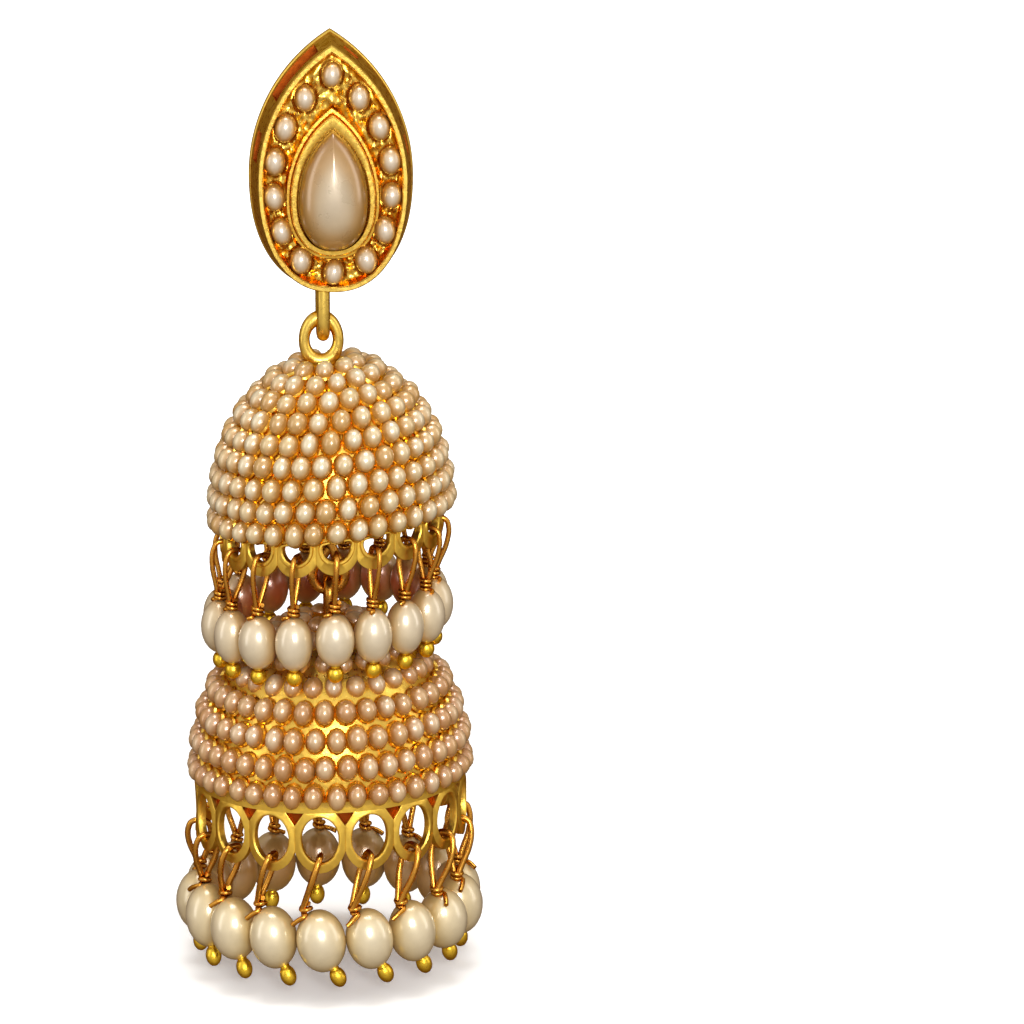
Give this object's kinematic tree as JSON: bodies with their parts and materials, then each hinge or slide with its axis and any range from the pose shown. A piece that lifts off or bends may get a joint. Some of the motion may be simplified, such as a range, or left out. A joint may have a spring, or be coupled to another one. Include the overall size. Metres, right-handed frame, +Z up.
{
  "type": "drop earring",
  "caption": "Gold drop earring: a pear-shaped ear top set with pearls, and two bells hung one under the other, with rows of seed pearls and pierced rims of pearl drops.",
  "frame": {"origin": "where the ear post leaves the back plate of the ear top", "axes": "+Z up, the front faces -Y, the ear post runs along +Y"},
  "size_m": [0.0269, 0.0269, 0.0817],
  "materials": {
    "gold": "satin gold with a warm red-brown tone in the recesses",
    "cabochon_pearl": "pearl, satin",
    "seed_pearl": "pearl, satin",
    "upper_bell_gold": "gold with rows of cream seed pearls",
    "lower_bell_gold": "gold with rows of peach seed pearls",
    "upper_drop_pearl": "white pearl with gold wire and ball",
    "lower_drop_pearl": "cream pearl with gold wire and ball"
  },
  "bodies": {
    "ear_stud": {"ear_top": "gold", "centre_pearl": "cabochon_pearl", "top_pearl_01": "seed_pearl", "top_pearl_02": "seed_pearl", "top_pearl_03": "seed_pearl", "top_pearl_04": "seed_pearl", "top_pearl_05": "seed_pearl", "top_pearl_06": "seed_pearl", "top_pearl_07": "seed_pearl", "top_pearl_08": "seed_pearl", "top_pearl_09": "seed_pearl", "top_pearl_10": "seed_pearl", "top_pearl_11": "seed_pearl", "top_pearl_12": "seed_pearl", "top_pearl_13": "seed_pearl", "top_pearl_14": "seed_pearl"},
    "upper_tier": {"upper_bell": "upper_bell_gold", "upper_drop_01": "upper_drop_pearl", "upper_drop_02": "upper_drop_pearl", "upper_drop_03": "upper_drop_pearl", "upper_drop_04": "upper_drop_pearl", "upper_drop_05": "upper_drop_pearl", "upper_drop_06": "upper_drop_pearl", "upper_drop_07": "upper_drop_pearl", "upper_drop_08": "upper_drop_pearl", "upper_drop_09": "upper_drop_pearl", "upper_drop_10": "upper_drop_pearl", "upper_drop_11": "upper_drop_pearl", "upper_drop_12": "upper_drop_pearl", "upper_drop_13": "upper_drop_pearl", "upper_drop_14": "upper_drop_pearl", "upper_drop_15": "upper_drop_pearl", "upper_drop_16": "upper_drop_pearl", "upper_drop_17": "upper_drop_pearl"},
    "lower_tier": {"lower_bell": "lower_bell_gold", "lower_drop_01": "lower_drop_pearl", "lower_drop_02": "lower_drop_pearl", "lower_drop_03": "lower_drop_pearl", "lower_drop_04": "lower_drop_pearl", "lower_drop_05": "lower_drop_pearl", "lower_drop_06": "lower_drop_pearl", "lower_drop_07": "lower_drop_pearl", "lower_drop_08": "lower_drop_pearl", "lower_drop_09": "lower_drop_pearl", "lower_drop_10": "lower_drop_pearl", "lower_drop_11": "lower_drop_pearl", "lower_drop_12": "lower_drop_pearl", "lower_drop_13": "lower_drop_pearl", "lower_drop_14": "lower_drop_pearl", "lower_drop_15": "lower_drop_pearl", "lower_drop_16": "lower_drop_pearl", "lower_drop_17": "lower_drop_pearl"}
  },
  "joints": [
    {"name": "drop_swing", "type": "hinge", "parent": "ear_stud", "child": "upper_tier", "pos_m": [-0.00105, -0.0023, -0.0156], "axis": [0, 1, 0], "range_deg": [-45, 45]},
    {"name": "lower_bell_swing", "type": "hinge", "parent": "upper_tier", "child": "lower_tier", "pos_m": [-0.0006, -0.0023, -0.0384], "axis": [1, 0, 0], "range_deg": [-2, 2]}
  ]
}
